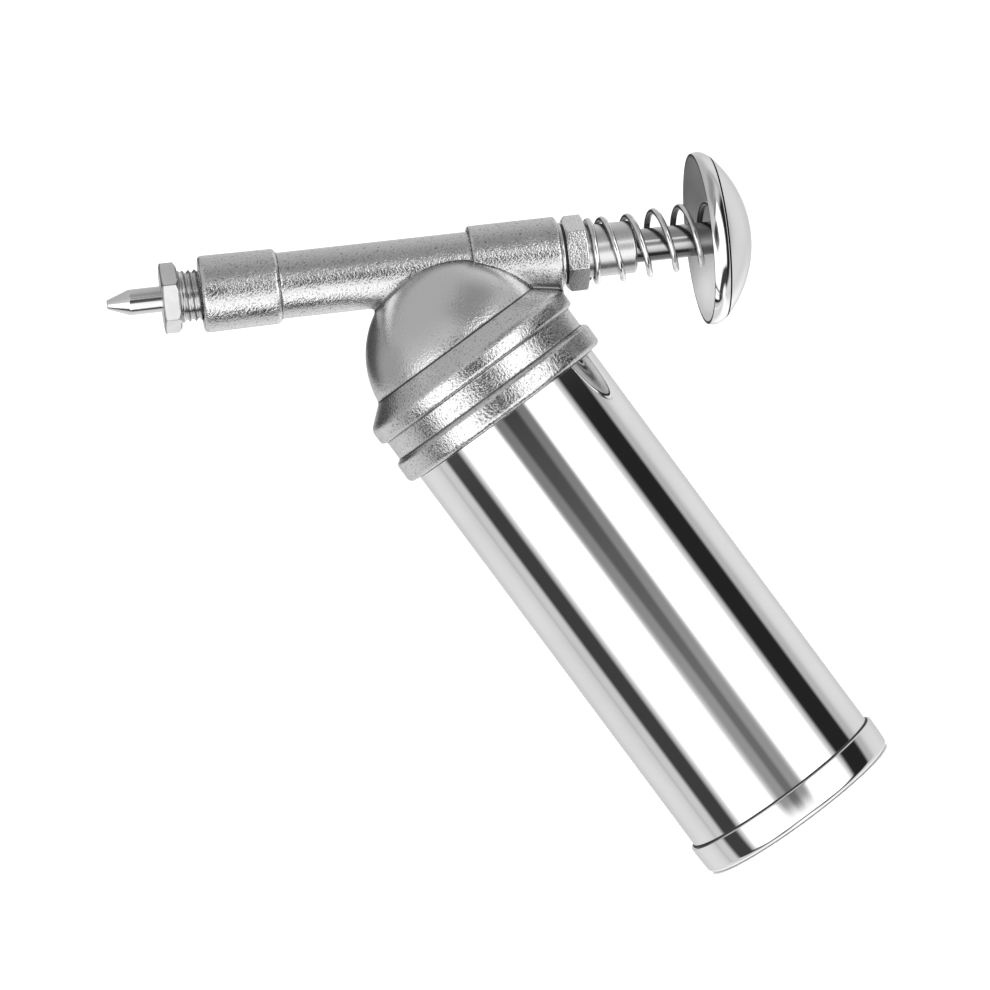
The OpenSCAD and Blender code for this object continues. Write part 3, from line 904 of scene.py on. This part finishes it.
def hexagon(x, y, z, across_flats, low, high, turn, edge, low_drop, high_drop):
    """Distance to a hexagonal nut blank whose corners are turned off at its ends."""
    flats = None
    for k in range(3):
        a = math.radians(turn + 60 * k)
        side = np.abs(x * math.cos(a) + y * math.sin(a)) - across_flats / 2
        flats = side if flats is None else smooth_max(flats, side, edge)
    ends = smooth_max(low - z, z - high, edge)
    body = smooth_max(flats, ends, edge)
    r = np.hypot(x, y)
    for end, drop in ((low - z, low_drop), (z - high, high_drop)):
        lean = math.atan2(drop, corner_radius(across_flats) - across_flats / 2)
        cone = (r - across_flats / 2) * math.sin(lean) + end * math.cos(lean)
        body = smooth_max(body, cone, edge)
    return body


def nozzle_distance(x, y, z):
    """Distance to the nozzle body: hexagon and helical thread, bored through."""
    r = np.hypot(x, y)
    nut = hexagon(x, y, z, NOZZLE_HEX_AF, NOZZLE_HEX_FRONT, NOZZLE_HEX_BACK,
                  NOZZLE_HEX_TURN + 30, 0.12, 0.25, 0.7)
    phase = z / NOZZLE_PITCH - np.arctan2(y, x) / (2 * np.pi)
    ridge = np.abs(phase - np.floor(phase) - 0.5) * 2
    depth = NOZZLE_THREAD_DEPTH * np.clip((z - NOZZLE_HEX_BACK - 0.3) / 0.8, 0, 1)
    crest = NOZZLE_CREST_R - np.clip(z - NOZZLE_BACK + 1, 0, 1) * 0.8
    shank = (r - (crest - depth * np.clip(ridge * 1.25, 0, 1))) * 0.8
    shank = smooth_max(shank, smooth_max(NOZZLE_HEX_BACK - 1 - z, z - NOZZLE_BACK, 0.1), 0.15)
    body = smooth_min(nut, shank, 0.25)
    grease_passage = 1.2 - r
    spigot_hole = np.minimum(SPIGOT_R + 0.02 - r, SPIGOT_END - z)
    body = smooth_max(body, grease_passage, 0.1)
    return smooth_max(body, spigot_hole, 0.1)


def make_nozzle():
    """Nozzle body, and the needle tip that stands in its front."""
    reach = corner_radius(NOZZLE_HEX_AF) + 0.6
    formed("nozzle_adaptor", nozzle_distance, (-reach, -reach, NOZZLE_HEX_FRONT - 0.6),
           (reach, reach, NOZZLE_BACK + 0.6), 0.14, BARREL, NOZZLE_PLATE, "head",
           ["nozzle_body"])
    shaft_r, cone_start, tip_s = 2.7, NOZZLE_HEX_FRONT - 6.7, NOZZLE_HEX_FRONT - 11.4
    bore = 0.55
    points = outline([(bore, tip_s, 0.1), (0.95, tip_s, 0.25), (shaft_r, cone_start, 1.5),
                      (shaft_r, NOZZLE_HEX_FRONT, 0.05), (SPIGOT_R, NOZZLE_HEX_FRONT, 0.05),
                      (SPIGOT_R, SPIGOT_END, 0.1), (bore, SPIGOT_END, 0.1)])
    turned("needle_tip", points, BARREL, TIP_STEEL, "head", ["nozzle_tip"],
           segments=96)


def make_check_spring():
    """Spring that holds the check ball on its seat."""
    wire_d, turns, mean_r = 0.5, 9, 2.2
    low, high = NOZZLE_BACK, NOZZLE_BACK + 14.7
    path = coil_path(mean_r, turns, low, high, wire_d, steps=18)
    spring = wire("check_coil", path, wire_d / 2, BARREL, SPRING_WIRE, "head",
                  ["check_spring"], sides=8)
    (high - low - LIFT) / (high - low)
    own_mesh(spring)


# ---------------------------------------------------------------- gland and plunger


def gland_distance(x, y, z):
    """Distance to the gland nut: plain shank and hexagon, bored for the rod."""
    r = np.hypot(x, y)
    nut = hexagon(x, y, z, GLAND_HEX_AF, GLAND_HEX_START, GLAND_HEX_END, 30, 0.2, 0.8, 0.25)
    shank = disc(r, z, PACKING_BORE_R - 0.1, GLAND_SHANK_START, GLAND_HEX_START + 1, 0.2)
    body = smooth_min(nut, shank, 0.2)
    return smooth_max(body, ROD_BORE_R - r, 0.1)


def make_gland():
    """Gland nut with its guide sleeve, and under its hexagon a plated ring on a dark ring that
    paints the shade of the gap.
    """
    reach = corner_radius(GLAND_HEX_AF) + 0.6
    formed("gland_hexagon", gland_distance, (-reach, -reach, GLAND_SHANK_START - 0.6),
           (reach, reach, GLAND_HEX_END + 0.6), 0.18, BARREL, GLAND_PLATE, "head",
           ["gland_nut"])
    sleeve = outline([(ROD_BORE_R, GLAND_HEX_END, 0.05), (SLEEVE_R, GLAND_HEX_END, 0.05),
                      (SLEEVE_R, SLEEVE_END, 0.6), (ROD_BORE_R + 0.5, SLEEVE_END, 0.2),
                      (ROD_BORE_R, SLEEVE_END - 0.5, 0.1)])
    turned("guide_sleeve", sleeve, BARREL, SLEEVE_STEEL, "head",
           ["gland_nut"], segments=128)
    # A dark ring under the hexagon paints the shade in the gap around the plated ring.
    inner_r, joint_r, ring_r = PACKING_BORE_R, 6.3, 6.8
    gap_shade_ring = outline([(inner_r, REAR_FACE, 0.1), (joint_r + 0.05, REAR_FACE, 0.1),
                    (joint_r + 0.05, GLAND_HEX_START, 0.1), (inner_r, GLAND_HEX_START, 0.1)])
    turned("gland_gap_shade_ring", gap_shade_ring, BARREL, PAINTED_GAP_SHADE, "head", ["gland_washer"],
           segments=128)
    ring_back, ring_front = REAR_FACE + 0.15, REAR_FACE + 0.85
    ring = outline([(joint_r, ring_back, 0), (ring_r, ring_back, 0.3),
                    (ring_r, ring_front, 0.3), (joint_r, ring_front, 0)])
    turned("gland_ring", ring, BARREL, NOZZLE_PLATE, "head",
           ["gland_washer"], segments=128)


def make_return_spring():
    """A spring whose free coils lean a little, and which bows off the rod near the button."""
    wire_d, outer_r, pitch, coil_lean = 1.3, 7.1, 5.7, 0.48
    bow_height, bow_start, bow_length = 0.95, 49.0, 17.0
    low, high = GLAND_HEX_END, SEAT_S
    length = high - low
    turns = 2 + (length - 3 * wire_d) / pitch
    first_top = 43.48
    start = math.pi - 2 * math.pi * (1 + (first_top - low - 1.5 * wire_d) / pitch)
    mean_r = outer_r - wire_d / 2
    steps = 40
    count = math.ceil(turns * steps)
    path = []
    for i in range(count + 1):
        turn = turns * i / count
        a = start + 2 * math.pi * turn
        s = coil_height(turn, turns, length, wire_d)
        free = math.sin(math.pi * min(1, max(0, (turn - 0.6) / (turns - 1.2))))
        bowed = min(1, max(0, (low + s - bow_start) / bow_length))
        bow = bow_height * math.sin(math.pi / 2 * bowed)
        path.append((mean_r * math.cos(a) - bow, mean_r * math.sin(a),
                     low + s + coil_lean * free * math.cos(a)))
    spring = wire("return_coil", path, wire_d / 2, BARREL, SPRING_WIRE, "head",
                  ["return_spring"])
    (length - STROKE) / length
    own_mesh(spring)


def make_plunger():
    """Rod with its ring groove and its stud, and the seat that the spring pushes on."""
    tip, stud_r, stud_start, stud_end = 10.6, 2.5, SEAT_S + 1.1, SEAT_S + 3.0
    groove_r, groove_start, groove_end = ROD_R - 1.2, 12.55, 13.85
    points = outline([(0, tip, 0), (ROD_R, tip, 0.5), (ROD_R, groove_start, 0.05),
                      (groove_r, groove_start, 0.05), (groove_r, groove_end, 0.05),
                      (ROD_R, groove_end, 0.05), (ROD_R, stud_start, 0.1),
                      (stud_r, stud_start, 0.05), (stud_r, stud_end, 0.2), (0, stud_end, 0)])
    turned("plunger_shaft", points, BARREL, ROD_STEEL, "plunger",
           ["plunger_rod"], segments=128)
    hole_r, seat_r = ROD_R + 0.3, 7.6
    seat = outline([(hole_r, SEAT_S, 0.1), (seat_r, SEAT_S, 0.2), (seat_r, SEAT_S + 1, 0.2),
                    (hole_r, SEAT_S + 1, 0.1)])
    turned("spring_seat_ring", seat, BARREL, ZINC, "spring_seat",
           ["spring_seat"], segments=96)


def make_button():
    """Pressed dome with a rounded band at its rim, a cut lower edge and a bare inside; the inside
    and the groove under the dome carry painted shade.
    """
    lip_r, lip_s, wall = BUTTON_R - 0.95, BUTTON_RIM - 0.75, 1.2
    band_foot_r, band_top_r, band_bulge = BUTTON_R - 0.35, BUTTON_R - 0.95, 2.1
    band_end, groove_r, groove_width = BUTTON_RIM + 2.6, BUTTON_R - 1.25, 0.4
    dome_depth = BUTTON_APEX - band_end - groove_width
    inside_depth = BUTTON_APEX - wall - lip_s
    sphere_r = (groove_r ** 2 + dome_depth ** 2) / (2 * dome_depth)
    centre = BUTTON_APEX - sphere_r
    edge_angle = math.asin(groove_r / sphere_r)
    steps = 48
    dome = [Vector((sphere_r * math.sin(a), centre + sphere_r * math.cos(a)))
            for a in (edge_angle * i / steps for i in range(steps + 1))]
    groove = [Vector((groove_r - 0.2, band_end + 0.2))]
    band = [Vector((band_foot_r + (band_top_r - band_foot_r) * share
                    + band_bulge * share * (1 - share),
                    lip_s + (band_end - lip_s) * share))
            for share in (1 - i / 20 for i in range(21))]
    inside = [Vector((lip_r * math.cos(a), lip_s + inside_depth * math.sin(a)))
              for a in (math.radians(90 * i / steps) for i in range(steps + 1))]
    button = turned("palm_dome", dome + groove + band + inside, BARREL, BUTTON_CHROME,
                    "plunger", ["palm_button"], segments=240)
    for finish in (BUTTON_INSIDE, CUT_EDGE_AND_GROOVE_SHADE):
        button.data.materials.append(finish)
    for face in button.data.polygons:
        middle = face.center / MM
        r, s = math.hypot(middle.x, middle.y), middle.z
        # The inside gets the finish with painted shade on one side.
        if math.hypot(r / lip_r, (s - lip_s) / inside_depth) < 1.004 and s > lip_s + 0.02:
            face.material_index = 1
        # The cut lip edge goes dark, and the groove under the dome gets painted shade.
        elif abs(s - lip_s) < 0.06 or (abs(s - band_end) < 0.35 and r < groove_r + 0.12):
            face.material_index = 2


def finish_hidden_pieces():
    """Materials for the CAD pieces that show as they are."""
    finishes = {
        "follower_plate": ZINC, "follower_seal": RUBBER, "follower_backing": ZINC,
        "follower_rivet": ZINC, "tube_gasket": RUBBER, "nozzle_seal": COPPER,
        "check_ball": TIP_STEEL, "packing_rings": FIBRE, "packing_washer": BRASS,
        "plunger_o_ring": RUBBER, "button_boss": ZINC,
    }
    for node, finish in finishes.items():
        for material_slot in frame["nodes"][node].material_slots:
            material_slot.link = "OBJECT"
            material_slot.material = finish


# ---------------------------------------------------------------- studio

CAMERA_AZIMUTH = -5.95
CAMERA_ELEVATION = 1.99
CAMERA_ROLL = -36.64
CAMERA_DISTANCE = 944.4
CAMERA_TARGET = Vector((-12.15, 0.0, 91.46))
CAMERA_LENS = 163.34


def make_camera():
    """A long lens, nearly square to the tool's side and rolled so that the tube leans."""
    data = bpy.data.cameras.new("camera")
    data.sensor_width, data.lens = 36.0, CAMERA_LENS
    data.clip_start, data.clip_end = 0.01, 100.0
    camera = new_object("camera", data)
    azimuth, elevation = math.radians(CAMERA_AZIMUTH), math.radians(CAMERA_ELEVATION)
    back = Vector((math.sin(azimuth) * math.cos(elevation),
                   -math.cos(azimuth) * math.cos(elevation), math.sin(elevation)))
    level = (-back).to_track_quat("-Z", "Y").to_matrix()
    rolled = level @ Matrix.Rotation(math.radians(CAMERA_ROLL), 3, "Z")
    camera.matrix_world = Matrix.Translation((CAMERA_TARGET + back * CAMERA_DISTANCE) * MM) \
        @ rolled.to_4x4()
    bpy.context.scene.camera = camera


def make_floor():
    """A pale paper floor, left out of reflections."""
    half = 30000
    mesh = new_mesh("floor", [(-half, -half, 0), (half, -half, 0), (half, half, 0),
                              (-half, half, 0)], [(0, 1, 2, 3)])
    floor = new_object("floor", mesh)
    paint = Paint("floor_paper")
    tooth = paint.noise(paint.place(), 3.0, 3.0)
    shade = paint.mix(tooth, 0.90, 0.94)
    mesh.materials.append(paint.surface(shade, 0.9, paint.bump(tooth, 0.05), metallic=0.0))
    floor.location.z = -0.2 * MM
    floor.visible_glossy = False


def make_world():
    """Even white light from all round."""
    world = bpy.data.worlds.new("studio")
    bpy.context.scene.world = world
    paint = Paint("studio", world)
    light = paint.node("ShaderNodeBackground", {}, {"Color": colour(1.0), "Strength": 1.25})
    paint.node("ShaderNodeOutputWorld", {}, {"Surface": light})


def make_tent():
    """A light tent seen only in reflections: softboxes either side of the camera, black
    flags beyond them, a pale wall behind, a greyer roof and a white table front. Each part
    is laid over the ones before it, between two angles round from the camera's side of the
    tent and two angles up from level."""
    mesh = bpy.data.meshes.new("light_tent")
    work = bmesh.new()
    bmesh.ops.create_icosphere(work, subdivisions=5, radius=2.5)
    work.to_mesh(mesh)
    work.free()
    tent = new_object("light_tent", mesh)
    tent.matrix_world = Matrix.Translation((0, 0, 0.09)) \
        @ Matrix.Rotation(math.radians(CAMERA_AZIMUTH), 4, "Z")
    for sees in ("visible_camera", "visible_diffuse", "visible_shadow",
                 "visible_transmission", "visible_volume_scatter"):
        setattr(tent, sees, False)
    paint = Paint("tent_light")
    x, y, z = paint.apart(paint.node("ShaderNodeVectorMath", {"operation": "NORMALIZE"},
                                     {0: paint.place()}))
    side = x.math("ARCTAN2", 0 - y) * math.degrees(1)
    rise = z.math("ARCSINE") * math.degrees(1)
    away = side.math("ABSOLUTE")
    back = 0.68 + away.window(112, 145, 12) * 0.14
    back = back - side.window(98, 110, 5) * 0.16 - side.window(-107, -102, 2) * 0.1
    under_back = away.step(140, 168) * (1 - rise.step(-32, -9))
    glow = paint.mix(under_back, back, 1.2)
    glow = paint.mix(rise.step(25, 55), glow, 0.55)
    corner = side.window(22, 96, 14) * rise.window(24, 55, 10)
    glow = paint.mix(corner, glow, 0.34)
    far_left = side.window(-178, -72, 6) * rise.window(10, 45, 5)
    glow = paint.mix(far_left, glow, 0.44)
    left_corner = side.window(-174, -126, 8) * rise.window(12, 40, 4)
    glow = paint.mix(left_corner, glow, 0.08)
    table = rise.window(-54, -12, 5) * side.window(-62, 64, 8)
    glow = paint.mix(paint.greater(table, 1 - rise.step(-84, -79)), glow, 1.25)
    edge = rise.window(-78, -57, 3) * side.window(-100, 100, 8)
    glow = paint.mix(edge, glow, 0.06)
    for low, high, top in ((-63, -19, 17), (20, 62, 16)):
        softbox = side.window(low, high, 4) * rise.window(-54, top, 5)
        glow = paint.mix(softbox, glow, 1.7)
    lift = rise.ramp(-7, 0)
    beside = (side - 1.5).math("ABSOLUTE") - lift * 5
    tall = rise.window(-14, 14, 4.5)
    card = (1 - beside.step(12, 19)) * tall
    glow = paint.mix(card, glow, 0.34 - lift * 0.14)
    lens = (1 - beside.step(2, 7)) * tall
    glow = paint.mix(lens, glow, 0.17 - lift * 0.12)
    boom = side.window(15, 60, 6) * rise.window(20, 25, 2)
    glow = paint.mix(boom, glow, 0.12)
    for low, high, shade in ((-91, -69, 0.055), (69, 98, 0.02)):
        flag = side.window(low, high, 3.5) * rise.window(-64, 4, 6)
        glow = paint.mix(flag, glow, shade)
    light = paint.node("ShaderNodeEmission", {}, {"Color": glow, "Strength": 1.0})
    paint.node("ShaderNodeOutputMaterial", {}, {"Surface": light})
    mesh.materials.append(paint.owner)


def make_lamp():
    """A broad soft lamp overhead, which lights the floor and isn't mirrored in the chrome."""
    data = bpy.data.lights.new("overhead", "AREA")
    data.shape, data.size, data.energy = "DISK", 3.0, 120.0
    lamp = new_object("overhead", data)
    lamp.location = (0, 0, 2.4)
    lamp.visible_glossy = False


make_camera()
make_floor()
make_world()
make_tent()
make_lamp()
bpy.context.scene.view_settings.view_transform = "Standard"

make_tube()
make_cap()
make_follower_spring()
make_head()
make_nozzle()
make_check_spring()
make_gland()
make_return_spring()
make_plunger()
make_button()
finish_hidden_pieces()
